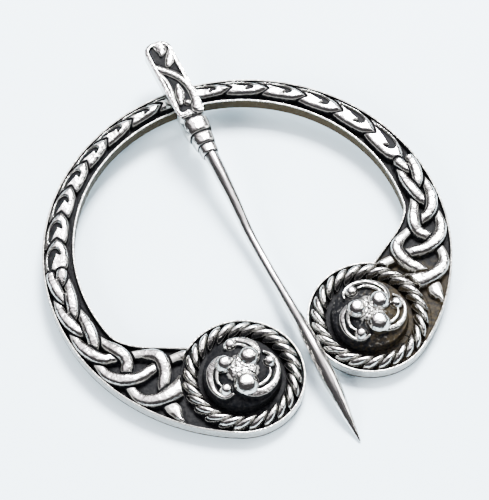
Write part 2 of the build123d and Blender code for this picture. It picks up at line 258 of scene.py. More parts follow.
collar_rings = [(1.95, 1.58, 1.42), (1.50, 1.28, 1.14), (1.20, 1.04, 0.95)]  # length, radii
shank = np.array([       # reach from the axis, sideways bow, height above the hoop's back, radius
    (7.97, 0.03, 2.62, 0.83), (10.97, 0.07, 2.35, 0.76), (14.57, 0.06, 1.85, 0.66),
    (18.97, -0.03, 1.12, 0.57), (23.77, 0.04, 1.00, 0.57), (29.17, 0.04, 1.70, 0.63),
    (34.57, -0.08, 2.50, 0.74), (39.17, -0.06, 1.80, 0.86), (42.77, -0.05, 1.05, 0.60),
    (46.17, 0.00, 0.37, 0.10),
])

axis_z = crest_z / 2
roundel_x = roundel_gap / 2 + roundel_r
roundel_y = -outer_shift - sqrt((outer_r - roundel_r) ** 2 - roundel_x**2)


# Frames
def unit(v):
    """Vectors brought to length 1."""
    return v / np.linalg.norm(v, axis=-1, keepdims=True)


def outer_at(station):
    """Distance from the hoop's centre to its outer edge."""
    turn = np.radians(station)
    return -outer_shift * np.cos(turn) + np.sqrt(outer_r**2 - (outer_shift * np.sin(turn)) ** 2)


def inner_at(station):
    """Distance from the hoop's centre to the band's inner edge: circle and shoulder, blended."""
    slope = radians(shoulder_slope)
    turn = radians(shoulder_turn)
    x, y = roundel_x - roundel_r * cos(turn), roundel_y + roundel_r * sin(turn)
    fall = -np.cos(np.radians(np.abs(station)) + slope)
    line = (x * sin(slope) - y * cos(slope)) / np.maximum(fall, 1e-3)
    near = np.maximum(0, shoulder_blend - np.abs(window_r - line))
    return np.minimum(window_r, line) - near**2 / (4 * shoulder_blend)


axis_r = (window_r + float(outer_at(pin_station))) / 2
hinge = frame["joints"][0]
tilt = atan2(hinge["axis"][2], hinge["axis"][1])
lay_down = np.array([[1, 0, 0], [0, cos(tilt), -sin(tilt)], [0, sin(tilt), cos(tilt)]])
hinge_here = np.array([axis_r * sin(radians(pin_station)), axis_r * cos(radians(pin_station)), axis_z])
shift = np.array(hinge["pos_m"]) / MM - lay_down @ hinge_here


def to_row(points):
    """From the hoop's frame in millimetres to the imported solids' in metres."""
    return (np.asarray(points) @ lay_down.T + shift) * MM


def pin_point(across, along, up):
    """From the pin's own axes, about its swinging axis, to the hoop's frame."""
    h = radians(pin_heading)
    across, along, up = np.broadcast_arrays(across, along, up)
    return np.stack([
        hinge_here[0] + across * cos(h) + along * sin(h),
        hinge_here[1] - across * sin(h) + along * cos(h),
        hinge_here[2] + up,
    ], -1)


# Meshes
def smooth(x):
    """A step from 0 to 1 that starts and ends level."""
    x = np.clip(x, 0, 1)
    return x * x * (3 - 2 * x)


def smooth_rows(rows, steps):
    """A table's rows carried on a smooth curve through them."""
    rows = np.asarray(rows, float)
    n = len(rows)
    t = np.linspace(0, n - 1, steps)
    i = np.minimum(t.astype(int), n - 2)
    f = (t - i)[:, None]
    padded = np.vstack([2 * rows[0] - rows[1], rows, 2 * rows[-1] - rows[-2]])
    a, b, c, d = (padded[i + k] for k in range(4))
    return 0.5 * (2 * b + (c - a) * f + (2 * a - 5 * b + 4 * c - d) * f**2 + (3 * b - a - 3 * c + d) * f**3)


def closed_skin(name, rings, marks, body, material):
    """A closed piece from rings of points, shape (rings, points round, 3), capped at both ends.

    marks holds one value a point for each named attribute.
    """
    rows, cols = rings.shape[:2]
    points = to_row(rings).reshape(-1, 3)
    caps = to_row(rings[[0, -1]].mean(1))
    points = np.vstack([points, caps])
    i, j = np.meshgrid(np.arange(rows - 1), np.arange(cols), indexing="ij")
    k = (j + 1) % cols
    quads = [i * cols + j, i * cols + k, (i + 1) * cols + k, (i + 1) * cols + j]
    quads = np.stack(quads, -1).reshape(-1, 4)
    j = np.arange(cols)
    k = (j + 1) % cols
    first = np.stack([k, j, np.full(cols, rows * cols)], -1)
    last = np.stack([(rows - 1) * cols + j, (rows - 1) * cols + k, np.full(cols, rows * cols + 1)], -1)
    tris = np.vstack([quads[:, [0, 1, 2]], quads[:, [0, 2, 3]], first, last])
    p = points - points.mean(0)
    volume = np.einsum("ij,ij->i", p[tris[:, 0]], np.cross(p[tris[:, 1]], p[tris[:, 2]])).sum()
    if volume < 0:
        quads, first, last = quads[:, ::-1], first[:, ::-1], last[:, ::-1]
    mesh = bpy.data.meshes.new(name)
    mesh.vertices.add(len(points))
    mesh.vertices.foreach_set("co", points.astype(np.float32).ravel())
    corners = np.concatenate([quads.ravel(), first.ravel(), last.ravel()]).astype(np.int32)
    starts = np.concatenate([np.arange(len(quads)) * 4, len(quads) * 4 + np.arange(2 * cols) * 3])
    mesh.loops.add(len(corners))
    mesh.loops.foreach_set("vertex_index", corners)
    mesh.polygons.add(len(starts))
    mesh.polygons.foreach_set("loop_start", starts.astype(np.int32))
    mesh.polygons.foreach_set("use_smooth", np.ones(len(starts), bool))
    mesh.update(calc_edges=True)
    for mark, values in marks.items():
        values = np.broadcast_to(values, rings.shape[:2])
        ends = values[[0, -1]].mean(1)
        layer = mesh.attributes.new(mark, "FLOAT", "POINT")
        layer.data.foreach_set("value", np.concatenate([values.ravel(), ends]).astype(np.float32))
    mesh.materials.append(material)
    piece = bpy.data.objects.new(name, mesh)
    bpy.context.scene.collection.objects.link(piece)
    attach(piece, body)
    return piece


# Relief: a height and a polish for each point of a grid
def nearest(x, y, path):
    """Distance from each point to a path, and how far along the path it is nearest."""
    best = np.full(x.shape, np.inf)
    along = np.zeros(x.shape)
    for i in range(len(path) - 1):
        a, d = path[i], path[i + 1] - path[i]
        t = np.clip(((x - a[0]) * d[0] + (y - a[1]) * d[1]) / max(d @ d, 1e-9), 0, 1)
        r = np.hypot(x - a[0] - t * d[0], y - a[1] - t * d[1])
        closer = r < best
        best[closer] = r[closer]
        along[closer] = (i + t)[closer]
    return best, along


def enclosed(x, y, outline):
    """Which points lie inside a closed outline: those that an odd number of its sides pass over."""
    inside = np.zeros(x.shape, bool)
    for a, b in zip(outline, np.roll(outline, -1, 0)):
        if a[1] != b[1]:
            passes = (y < max(a[1], b[1])) & (y >= min(a[1], b[1]))
            inside ^= passes & (x < a[0] + (y - a[1]) * (b[0] - a[0]) / (b[1] - a[1]))
    return inside


def new_relief(x, y, z, shine_and_shade):
    level = np.full(x.shape, ground_level)
    return {"x": x, "y": y, "z": z.copy(), "shine_and_shade": shine_and_shade.copy(), "level": level}


def near_path(relief, path, reach):
    """The grid's points in a path's box, grown by the reach."""
    x, y = relief["x"], relief["y"]
    low, high = path.min(0) - reach, path.max(0) + reach
    return np.nonzero((x > low[0]) & (x < high[0]) & (y > low[1]) & (y < high[1]))


def ribbon(relief, path, half, level):
    """A ribbon's place: the points near it, their depth in from its edge, its half width and level."""
    near = near_path(relief, path, half.max() + groove_w)
    distance, along = nearest(relief["x"][near], relief["y"][near], path)
    places = np.arange(len(path))
    wide = np.interp(along, places, half)
    return near, wide - distance, wide, np.interp(along, places, level)


def patch(relief, outline, level, bevel):
    """The same for a patch with a closed outline, which rises over its bevel."""
    near = near_path(relief, outline, groove_w)
    x, y = relief["x"][near], relief["y"][near]
    distance, _ = nearest(x, y, np.vstack([outline, outline[:1]]))
    depth = np.where(enclosed(x, y, outline), distance, -distance)
    return near, depth, np.full(depth.shape, bevel), np.broadcast_to(level, relief["x"].shape)[near]


def lay(relief, shapes, crown, power):
    """Lays shapes with crowned tops, then cuts a dark groove round each into what lies lower.

    A top falls from its middle line by the crown times a power of the share of the way to its edge.
    Where two shapes meet, the one whose level is higher at that place is on top. The groove's depth
    eases out over its width, and its film over the last part of it.
    """
    for near, depth, wide, high in shapes:
        rise = np.clip(depth / np.maximum(wide, 1e-6), 0, 1)
        top = high - crown * (1 - rise) ** power * np.minimum(1, wide / full_crown_w)
        on = (depth > 0) & (high > relief["level"][near])
        at = tuple(n[on] for n in near)
        relief["z"][at] = top[on]
        relief["shine_and_shade"][at] = (1 - edge_film * (1 - smooth(depth / edge_film_w)))[on]
        relief["level"][at] = high[on]
    for near, depth, _, high in shapes:
        beside = (depth <= 0) & (depth > -groove_w) & (high > relief["level"][near] + level_step)
        at = tuple(n[beside] for n in near)
        out = -depth[beside] / groove_w
        cut = groove_depth * (1 - smooth(out))
        relief["z"][at] -= np.minimum(cut, np.where(relief["level"][at] > 0, cut, groove_bare))
        film = smooth((out - groove_film) / groove_film_ease)
        relief["shine_and_shade"][at] = np.minimum(relief["shine_and_shade"][at], film)


def sink_comma(relief, path, half, depth):
    """Cuts a smooth dark hollow of the given half width into what is already laid."""
    near = near_path(relief, path, half.max() + hollow_edge)
    distance, along = nearest(relief["x"][near], relief["y"][near], path)
    wide = np.interp(along, np.arange(len(path)), half)
    relief["z"][near] -= depth * smooth((wide + hollow_edge - distance) / hollow_ramp)
    share, outside, width = hollow_film
    relief["shine_and_shade"][near] *= 1 - share * smooth((wide + outside - distance) / width)


def field_bounds(station):
    """Distances from the hoop's centre between which the ornament lies; the channel beside it narrows."""
    share = np.clip((np.abs(station) - 90) / (plait_end - 90) * 2, 0, 1)
    channel = channel_w + share * (channel_end_w - channel_w)
    return inner_at(station) + lip_w + channel, outer_at(station) - lip_w


def field_path(station, across):
    """Points at a share across the field, and the field's half width there."""
    inner, outer = field_bounds(station)
    r = (inner + outer) / 2 + across * (outer - inner) / 2
    turn = np.radians(station)
    return np.stack([r * np.sin(turn), r * np.cos(turn)], -1), (outer - inner) / 2


def leaf_turns():
    """Station and turn of each leaf, the next always a little longer."""
    station = leaf_start
    for i in range(leaf_count):
        turn = leaf_pitch + i * leaf_growth
        yield station, turn
        station += turn


def lay_leaves(relief, station_at, fall):
    """Each leaf rises towards its pointed tip, which lies over the next leaf's root."""
    shapes, hollows = [], []
    for station, turn in leaf_turns():
        outline = []
        for side in (leaf_back, leaf_front):
            rows = smooth_rows(side, leaf_steps)
            outline.append(field_path(station + rows[:, 0] * turn, rows[:, 1])[0])
        share = (station_at - station) / turn
        level = crest_z - leaf_sink + leaf_slope * (np.clip(share, -0.2, 1.1) - 1) - fall
        shapes.append(patch(relief, np.vstack(outline), level, leaf_bevel))
        rows = smooth_rows(leaf_hollow, leaf_steps)
        path, field = field_path(station + rows[:, 0] * turn, rows[:, 1])
        hollows.append((path, rows[:, 2] * field))
    lay(relief, shapes, *leaf_crown)
    for path, half in hollows:
        sink_comma(relief, path, half, leaf_cut)


def lay_plait(relief, side):
    """Strands that sway across the field by a power of a cosine, a third of a turn apart.

    Each goes over and under with the sine of twice its turn.
    """
    start = plait_start[0 if side < 0 else 1]
    foot_at, foot_run, flare = strand_foot
    tip_at, tip_run, taper = strand_tip
    film, film_from, film_run = strand_film
    share = np.linspace(0, 1, strand_steps)
    station = start + share * (side * strand_end - start)
    shapes, sunk = [], []
    for strand in range(strand_count):
        turn = 2 * np.pi * (np.abs(station - start) / (strand_count * plait_cell) + strand / strand_count)
        over = np.sin(2 * turn)
        half = strand_w * (1 + strand_swell * share + strand_over * over) / 2
        half = half * (1 + flare * smooth((share - foot_at) / foot_run))
        half = half * (1 - taper * smooth((share - tip_at) / tip_run))
        field = field_path(station, 0)[1]
        sway = np.sign(np.cos(turn)) * np.abs(np.cos(turn)) ** strand_sway
        across = (1 - (half + strand_gap) / field) * sway
        path, _ = field_path(station, across)
        level = crest_z - strand_sink + strand_dive * over - outer_fall * np.clip(across, 0, 1) ** 2
        shapes.append(ribbon(relief, path, half, level))
        sunk.append(ribbon(relief, path, half, 0.5 - 0.5 * over))
    lay(relief, shapes, *strand_crown)
    for (near, depth, _, high), (_, _, _, under) in zip(shapes, sunk):
        on = (depth > 0) & (high >= relief["level"][near])
        at = tuple(n[on] for n in near)
        relief["shine_and_shade"][at] *= (1 - film * smooth((under - film_from) / film_run))[on]


# Hoop
def lip(inward, width, top, floor):
    """Height and polish of a lip, by the distance in from the edge: rounded top, steep inner fall."""
    r = lip_round
    off = np.clip(np.maximum(1 - inward / r, (inward - (width - r)) / r), 0, 1)
    z = top - r * (1 - np.sqrt(1 - off**2))
    drop = smooth((inward - width) / lip_fall)
    return z + (floor - z) * drop, 1 - smooth((inward - width + lip_film) / lip_fall)


def wall_profile(edge, top, steps=8):
    """Points of a side wall, from the top down into the back's rounded edge: radius and height."""
    down = np.linspace(top, back_fillet, steps)
    bend = np.linspace(0, np.pi / 2, 7)[1:]
    r = np.concatenate([np.zeros(steps), back_fillet * (1 - np.cos(bend))])
    z = np.concatenate([down, back_fillet * (1 - np.sin(bend))])
    return edge - r, z


def wall_polish_and_foot_shade(wall_z):
    """Polish of an outer wall, with a dark line of painted shade at its foot, where it turns under to the
    floor.
    """
    foot, above = outer_wall_shade_and_shine
    height, change = wall_foot_shade_change
    return foot + (above - foot) * smooth((wall_z - height) / change)


def make_band(name, side, material):
    """Half of the band as rings about its section, from under the pin's head into the roundel.

    A ring runs over the relief from the inner to the outer edge, then down the outer wall, under the
    back and up the inner wall.
    """
    stations = np.linspace(pin_station, side * band_end, band_rings)
    inner, outer = inner_at(stations), outer_at(stations)
    across = np.linspace(0, 1, band_points)
    r = inner[:, None] + across * (outer - inner)[:, None]
    turn = np.radians(stations)[:, None]
    x, y = r * np.sin(turn), r * np.cos(turn)
    edge = np.minimum(r - inner[:, None], outer[:, None] - r)
    z, shine_and_shade = lip(edge, lip_w, plate_t, ground_z)
    shine_and_shade = shine_and_shade * np.where(across > 0.5, outer_lip_shine, inner_lip_shine)
    relief = new_relief(x, y, z, shine_and_shade)
    relief["level"][edge < lip_w + lip_guard] = shut_level
    low, high = field_bounds(stations)
    field = np.clip((r - (low + high)[:, None] / 2) / ((high - low)[:, None] / 2), 0, 1)
    lay_leaves(relief, np.broadcast_to(stations[:, None], r.shape), outer_fall * field**2)
    lay_plait(relief, side)
    brown, more, brown_from, brown_run = band_brown
    warm = brown + more * smooth((side * stations - brown_from) / brown_run) * (side > 0)
    grit = band_grit * warm[:, None] * (relief["level"] < 0)
    z, shine_and_shade = relief["z"], np.maximum(relief["shine_and_shade"], grit)
    # Inside the roundel the band sinks out of sight
    inside = roundel_r - np.hypot(x - side * roundel_x, y - roundel_y)
    sink_from, sink_run, sink = band_sink
    z = z + (ground_z - sink - z) * smooth((inside - sink_from) / sink_run)
    wall_r, wall_z = wall_profile(0, plate_t - lip_round)
    outer_ring_r = outer[:, None] + wall_r
    inner_ring_r = inner[:, None] - wall_r[::-1]
    back = np.linspace(0, 1, back_points)[1:-1]
    back_r = outer_ring_r[:, -1:] + back * (inner_ring_r[:, :1] - outer_ring_r[:, -1:])
    ring_r = np.hstack([r, outer_ring_r, back_r, inner_ring_r])
    rows = len(stations)
    ring_z = np.hstack([
        z,
        np.minimum(wall_z, z[:, -1:] - wall_tuck),
        np.zeros((rows, back.size)),
        np.minimum(wall_z[::-1], z[:, :1] - wall_tuck),
    ])
    wall = np.ones((rows, len(wall_z)))
    # The outer wall's foot has low polish: painted shade where it turns under to the floor.
    ring_shine_and_shade = np.hstack([
        shine_and_shade, wall * wall_polish_and_foot_shade(wall_z), np.full((rows, back.size), back_shine), wall * inner_wall_shine,
    ])
    rings = np.stack([ring_r * np.sin(turn), ring_r * np.cos(turn), ring_z], -1)
    ring_warm = np.broadcast_to(warm[:, None], ring_shine_and_shade.shape).copy()
    ring_warm[:, -len(wall_z):] = 1.0
    return closed_skin(name, rings, {"shine_and_shade": ring_shine_and_shade, "warm": ring_warm}, "hoop_body", material)


def dome_height(r):
    """A shallow cap that falls with the square of the radius; its steep wall is not in it."""
    return ground_z + dome_rise - (dome_rise - dome_wall) * np.clip(r / dome_r, 0, 1) ** 2


def lay_whorl(relief, side):
    """Arms that wind from each large boss to its bead, with a narrow leaf along their inside."""
    shapes = []
    for boss_turn, _, _, bead_turn, _ in whorl_bosses[side]:
        for table, swell in zip((whorl_arm, whorl_leaf), whorl_swell[side]):
            rows = smooth_rows(table, whorl_steps)
            turn = np.radians(boss_turn + rows[:, 0] * (bead_turn - boss_turn))
            reach = rows[:, 1] * dome_r
            path = np.stack([reach * np.cos(turn), reach * np.sin(turn)], -1)
            half = rows[:, 2] * swell * dome_r
            shapes.append(ribbon(relief, path, half, dome_height(reach) + whorl_rise))
    lay(relief, shapes, *whorl_crown)


def add_bosses(relief, r, side):
    """A hub roughened by products of sines, and bosses that fall off with a power of the radius."""
    x, y, z, shine_and_shade = (relief[key] for key in ("x", "y", "z", "shine_and_shade"))
    bare = relief["level"] < 0
    hub = smooth((hub_r - r) / hub_ease)
    pits = np.sin(7.1 * x + 2.3 * y) * np.sin(6.3 * y - 2.9 * x + 1.1)
    pits = pits + 0.6 * np.sin(15 * x + 4) * np.sin(13 * y)
    z = z + hub * (hub_rise + hub_pits * pits)
    shine_and_shade = shine_and_shade + hub * (hub_shine[side] + hub_pit_shine * pits)
    balls = [(turn, reach, radius, boss_rise) for turn, reach, radius, _, _ in whorl_bosses[side]]
    balls += [(turn, reach, bead_r, bead_rise) for _, _, _, turn, reach in whorl_bosses[side]]
    film, film_from, film_run = boss_film
    for turn, reach, radius, tall in balls:
        d = np.hypot(x - reach * cos(radians(turn)), y - reach * sin(radians(turn)))
        ball = dome_height(reach) + tall * (1 - np.clip(d / radius, 0, 1) ** boss_power)
        inside = (d < radius) & (ball > z)
        z = np.where(inside, ball, z)
        darkening = film * smooth((d / radius - film_from) / film_run) * bare
        shine_and_shade = np.where(inside, 1 - darkening, shine_and_shade)
        around = (d >= radius) & (d < radius + boss_ring) & bare
        shine_and_shade = np.where(around, np.minimum(shine_and_shade, boss_ring_shine), shine_and_shade)
    return z, shine_and_shade


def rope_border(r, a):
    """Where the leaning lobes of the border lie, their height and their polish.

    The height is a flattened arch across the border, times one along it over each lobe, whose width
    shrinks to a point at both edges.
    """
    off = (r - rope_r) / (rope_w / 2)
    lean = tan(radians(rope_lean)) * (r - rope_r) / rope_r
    apart = np.abs(((a + lean) * rope_count / (2 * np.pi)) % 1 - 0.5) * 2
    wide = rope_fill * np.clip(1 - np.abs(off) ** rope_point[0], 1e-6, None) ** rope_point[1]
    swell = np.sqrt(np.clip(1 - (apart / wide) ** rope_swell, 0, 1))
    crest = np.clip(1 - off**2, 0, 1) ** rope_arch
    foot = ground_z - rope_foot
    height = foot + (plate_t + rope_rise - foot) * crest * swell ** 0.5
    return np.abs(off) < 1, height, smooth((wide - apart) / rope_film)


def make_roundel(name, side, material):
    """A roundel as rings about its middle: dome and whorl, rope border, groove, rim, wall, back."""
    out = np.concatenate([
        np.linspace(middle_r, dome_r - 0.02, dome_rings),
        np.linspace(dome_r, dome_r + dome_wall_w, dome_wall_rings),
        np.linspace(dome_r + border_start, roundel_r, border_rings),
    ])
    turns = np.linspace(0, 2 * np.pi, roundel_turns, endpoint=False)
    r, a = np.meshgrid(out, turns, indexing="ij")
    dome = dome_height(r)
    z = dome + (ground_z - dome) * smooth((r - dome_r) / dome_wall_w)
    shine_and_shade = np.where(r < dome_r, dome_shine[side], border_shine)
    relief = new_relief(r * np.cos(a), r * np.sin(a), z, shine_and_shade)
    lay_whorl(relief, side)
    z, shine_and_shade = add_bosses(relief, r, side)
    on_rope, rope_z, rope_shine = rope_border(r, a)
    z = np.where(on_rope, rope_z, z)
    shine_and_shade = np.where(on_rope, rope_shine, shine_and_shade)
    # Rim on the free side, ground where the band joins
    low, high = rim_joint[side]
    middle, span = radians((low + high) / 2), radians((high - low) / 2)
    off_joint = np.abs((a - middle + np.pi) % (2 * np.pi) - np.pi) - span
    free = smooth(off_joint / radians(rim_ease) + 0.5)
    rim_z, rim_shine = lip(roundel_r - r, lip_w, plate_t, ground_z)
    at_rim = r > rope_r + rope_w / 2
    z = np.where(at_rim, rim_z * free + (ground_z - joint_sink) * (1 - free), z)
    shine_and_shade = np.where(at_rim, rim_polish * rim_shine * free, shine_and_shade)
    wall_r, wall_z = wall_profile(roundel_r, plate_t - lip_round)
    back_r = np.linspace(wall_r[-1], middle_r, back_points)[1:]
    down = np.minimum(wall_z[:, None], z[-1] - wall_tuck)
    ring_r = np.concatenate([out, wall_r, back_r])
    ring_z = np.vstack([z, down, np.zeros((len(back_r), len(turns)))])
    # The wall's foot has low polish: painted shade where it turns under to the floor.
    side_shine_and_shade = np.concatenate([wall_polish_and_foot_shade(wall_z), np.full(len(back_r), back_shine)])
    ring_shine_and_shade = np.vstack([shine_and_shade, np.broadcast_to(side_shine_and_shade[:, None], (len(side_shine_and_shade), len(turns)))])
    rings = np.stack([
        side * roundel_x + ring_r[:, None] * np.cos(turns),
        roundel_y + ring_r[:, None] * np.sin(turns),
        ring_z,
    ], -1)
    left, right, more, outward = roundel_brown
    warm = left if side < 0 else right + more * np.cos(turns + outward)
    return closed_skin(name, rings, {"shine_and_shade": ring_shine_and_shade, "warm": warm}, "hoop_body", material)


# Pin
def make_head(material):
    """The head's plate as rings about its section, from the collar to the far end.

    A ring crosses the relief, then goes down one side, under the plate and up the other side. The
    plate's half width follows its rounded corners.
    """
    start, end = -head_behind - head_overlap, head_ahead
    ease = (1 - np.cos(np.linspace(0, np.pi, head_rings))) / 2
    along = start + ease * (end - start)
    from_end = np.minimum(along - start, end - along)
    into = np.clip(head_round - from_end, 0, head_round)
    half = head_w / 2 - head_round + np.sqrt(np.maximum(head_round**2 - into**2, 0)) + head_slack
    share = np.linspace(-1, 1, head_points)
    c = half[:, None] * share
    a = np.broadcast_to(along[:, None], c.shape)
    corner = head_w / 2 - head_round
    past_x, past_y = np.abs(c) - corner, into[:, None]
    edge = np.where(
        (past_x > 0) & (past_y > 0),
        head_round - np.hypot(past_x, past_y),
        np.minimum(half[:, None] - np.abs(c), from_end[:, None]),
    )
    low, high = slot_half + head_t, slot_half + head_t + head_relief
    z, shine_and_shade = lip(edge, head_border, high, low)
    fall, fall_from = head_border_fall
    z = z - fall * (1 - smooth(edge / fall_from))
    # The hammered end, and the dark dip between it and the collar
    boss_length, boss_slope = head_boss
    boss = smooth((start + boss_length - a) / boss_slope) * (edge > head_border - head_guard)
    blows = np.sin(9 * a + 2) * np.sin(8 * c + 1)
    z = z + boss * (high - head_blow - z + head_blow * blows)
    shine_and_shade = shine_and_shade + boss * (head_blow_shine[0] + head_blow_shine[1] * blows - shine_and_shade)
    dip_from, dip_run, dip_depth = head_dip
    dip = 1 - smooth((a - start - head_overlap - dip_from) / dip_run)
    z, shine_and_shade = z - dip_depth * dip, shine_and_shade * (1 - dip)
    relief = new_relief(c, a, z, shine_and_shade)
    relief["level"][edge < head_border - head_guard] = shut_level
    shapes = []
    for table in (head_scroll, head_curl, head_stem, head_vine, head_leaf):
        rows = smooth_rows(table, head_steps) * head_w * np.array([1, 1, head_swell])
        shapes.append(ribbon(relief, rows[:, [1, 0]], rows[:, 2], np.full(len(rows), high)))
    lay(relief, shapes, *head_crown)
    z, shine_and_shade = relief["z"], relief["shine_and_shade"]
    dents = np.sin(10.3 * a + 1.7 * c) * np.sin(9.1 * c - 2.2 * a + 0.7) + 0.6 * np.sin(17 * a + 5 * c)
    z = z - head_dent * (1.6 + dents) * smooth(edge / 0.2) * (shine_and_shade > 0.5)
    d = np.hypot(c - head_bead[1] * head_w, a - head_bead[0] * head_w) / (head_bead[2] * head_w)
    z = np.where(d < 1, np.maximum(z, low + head_relief * np.sqrt(np.clip(1 - d**2, 0, 1))), z)
    shine_and_shade = np.where(d < 0.9, 1, np.where(d < 1.15, 0.1, shine_and_shade))
    rows, steps = len(along), 8
    down = np.broadcast_to(np.linspace(high - head_side, slot_half, steps), (rows, steps))
    right = np.broadcast_to(half[:, None], (rows, steps))
    under = half[:, None] * np.linspace(1, -1, steps)[1:-1]
    ring_c = np.hstack([c, right, under, -right])
    ring_z = np.hstack([z, down, np.full(under.shape, slot_half), down[:, ::-1]])
    ring_shine_and_shade = np.hstack([shine_and_shade, np.full((rows, 2 * steps + under.shape[1]), head_side_shine)])
    rings = pin_point(ring_c, along[:, None], ring_z)
    return closed_skin("pin_head", rings, {"shine_and_shade": ring_shine_and_shade, "warm": pin_brown}, "pin_body", material)


def make_round(name, places, radii, shine_and_shade, material):
    """A round piece along a path of (across, along, up), with a row of radii for each place."""
    heading = unit(np.gradient(places, axis=0))
    across = unit(np.cross(heading, np.array([0.0, 0, 1])))
    up = np.cross(across, heading)
    turn = np.linspace(0, 2 * np.pi, radii.shape[1], endpoint=False)
    ring = (places[:, None] + across[:, None] * (radii * np.cos(turn))[..., None]
            + up[:, None] * (radii * np.sin(turn))[..., None])
    rings = pin_point(ring[..., 0], ring[..., 1], ring[..., 2])
    return closed_skin(name, rings, {"shine_and_shade": shine_and_shade, "warm": pin_brown}, "pin_body", material)


def make_collar(material):
    """Three rings, each a cone with rounded ends, whose section is a circle squared by a power."""
    middle = shank[0, 2] - axis_z
    core_r, core_end_r, core_shine = collar_core
    steps, radii, shine_and_shade = [-head_behind + 0.3, -head_behind - 0.02], [core_r] * 2, [core_shine] * 2
    place = -head_behind
    for length, first, last in collar_rings:
        s = np.linspace(0, 1, collar_steps)
        off = np.abs(s - 0.5) * 2
        steps += list(place - collar_gap / 2 - s * (length - collar_gap))
        radii += list(first + (last - first) * s - collar_round[0] * off ** collar_round[1])
        shine_and_shade += list(1 - collar_film[0] * off ** collar_film[1])
        place -= length
    steps.append(place - 0.02)
    radii.append(core_end_r)
    shine_and_shade.append(core_shine)
    places = np.stack([np.zeros(len(steps)), np.array(steps), np.full(len(steps), middle)], -1)
    turn = np.linspace(0, 2 * np.pi, collar_points, endpoint=False)
    power = collar_square
    squared = (np.abs(np.cos(turn)) ** power + np.abs(np.sin(turn)) ** power) ** (-1 / power)
    # The rings' left side loses polish, and so turns dark, as painted shade.
    left_shade, left_shade_from, left_shade_run = collar_left_shade
    darkening = 1 - left_shade * smooth((-np.cos(turn) - left_shade_from) / left_shade_run)
    radii, shine_and_shade = np.array(radii)[:, None] * squared, np.array(shine_and_shade)[:, None] * darkening
    return make_round("pin_collar", places, radii, shine_and_shade, material)


def make_shank(material):
    """The bent shank: circles along the smooth curve through its table."""
    rows = smooth_rows(shank, shank_steps)
    places = np.stack([rows[:, 1], -rows[:, 0], rows[:, 2] - axis_z], -1)
    radii = np.broadcast_to(rows[:, 3:], (len(rows), shank_points))
    return make_round("pin_shank", places, radii, 1.0, material)


def make_loop(material):
    """The strap behind the head: a rounded flat section carried down, under the band and up again."""
    base = -slot_half - loop_t / 2
    far, near = slot_ahead + loop_t / 2, -slot_behind - loop_t / 2
    bend = np.linspace(0, np.pi / 2, 8)
    far_bend, near_bend = 0.8, 0.5
    corners = [(far, slot_half + 0.4), (far, base + 0.9)]
    corners += [(far - far_bend + far_bend * cos(b), base + far_bend - far_bend * sin(b)) for b in bend]
    corners += [(0.9, base), (near + 1.2, base)]
    corners += [(near + near_bend - near_bend * sin(b), base + near_bend - near_bend * cos(b)) for b in bend]
    corners += [(near - 0.25, -0.6), (-head_behind + 0.25, 0.4), (-head_behind + 0.3, slot_half + 0.4)]
    path = np.array(corners)
    heading = unit(np.gradient(path, axis=0))
    aside = np.stack([-heading[:, 1], heading[:, 0]], -1)
    turn = np.linspace(0, 2 * np.pi, 24, endpoint=False)
    round_c, round_t = (
        np.sign(swing) * np.abs(swing) ** 0.45 * size / 2
        for swing, size in ((np.cos(turn), loop_w), (np.sin(turn), loop_t))
    )
    a = path[:, :1] + aside[:, :1] * round_t
    b = path[:, 1:] + aside[:, 1:] * round_t
    rings = pin_point(np.broadcast_to(round_c, a.shape), a, b)
    return closed_skin("pin_loop", rings, {"shine_and_shade": 0.8, "warm": pin_brown}, "pin_body", material)


# Finishes
def new_group(name, inputs, outputs):
    """A shader group with its named inputs and outputs, and the nodes that carry them inside."""
    group = bpy.data.node_groups.new(name, "ShaderNodeTree")
    for label, value in inputs:
        socket = group.interface.new_socket(label, in_out="INPUT", socket_type="NodeSocketFloat")
        socket.default_value = value
    for label, kind in outputs:
        group.interface.new_socket(label, in_out="OUTPUT", socket_type=kind)
    return group, group.nodes.new("NodeGroupInput"), group.nodes.new("NodeGroupOutput")


def math_node(tree, operation, *values):
    node = tree.nodes.new("ShaderNodeMath")
    node.operation = operation
    for socket, value in zip(node.inputs, values):
        if isinstance(value, (int, float)):
            socket.default_value = value
        else:
            tree.links.new(value, socket)
    return node.outputs[0]


def noise_node(tree, place, scale, detail):
    node = tree.nodes.new("ShaderNodeTexNoise")
    node.inputs["Detail"].default_value = detail
    if isinstance(scale, (int, float)):
        node.inputs["Scale"].default_value = scale
    else:
        tree.links.new(scale, node.inputs["Scale"])
    tree.links.new(place, node.inputs["Vector"])
    return node.outputs["Fac"]


def range_node(tree, value, low, high, to_low=0.0, to_high=1.0, soft=True):
    node = tree.nodes.new("ShaderNodeMapRange")
    node.interpolation_type = "SMOOTHSTEP" if soft else "LINEAR"
    for label, number in (("From Min", low), ("From Max", high), ("To Min", to_low), ("To Max", to_high)):
        node.inputs[label].default_value = number
    tree.links.new(value, node.inputs["Value"])
    return node.outputs["Result"]


def mix_colors(tree, share, first, second):
    node = tree.nodes.new("ShaderNodeMix")
    node.data_type = "RGBA"
    tree.links.new(share, node.inputs["Factor"])
    for label, value in (("A", first), ("B", second)):
        socket = next(s for s in node.inputs if s.name == label and s.type == "RGBA")
        if isinstance(value, tuple):
            socket.default_value = value
        else:
            tree.links.new(value, socket)
    return next(s for s in node.outputs if s.type == "RGBA")


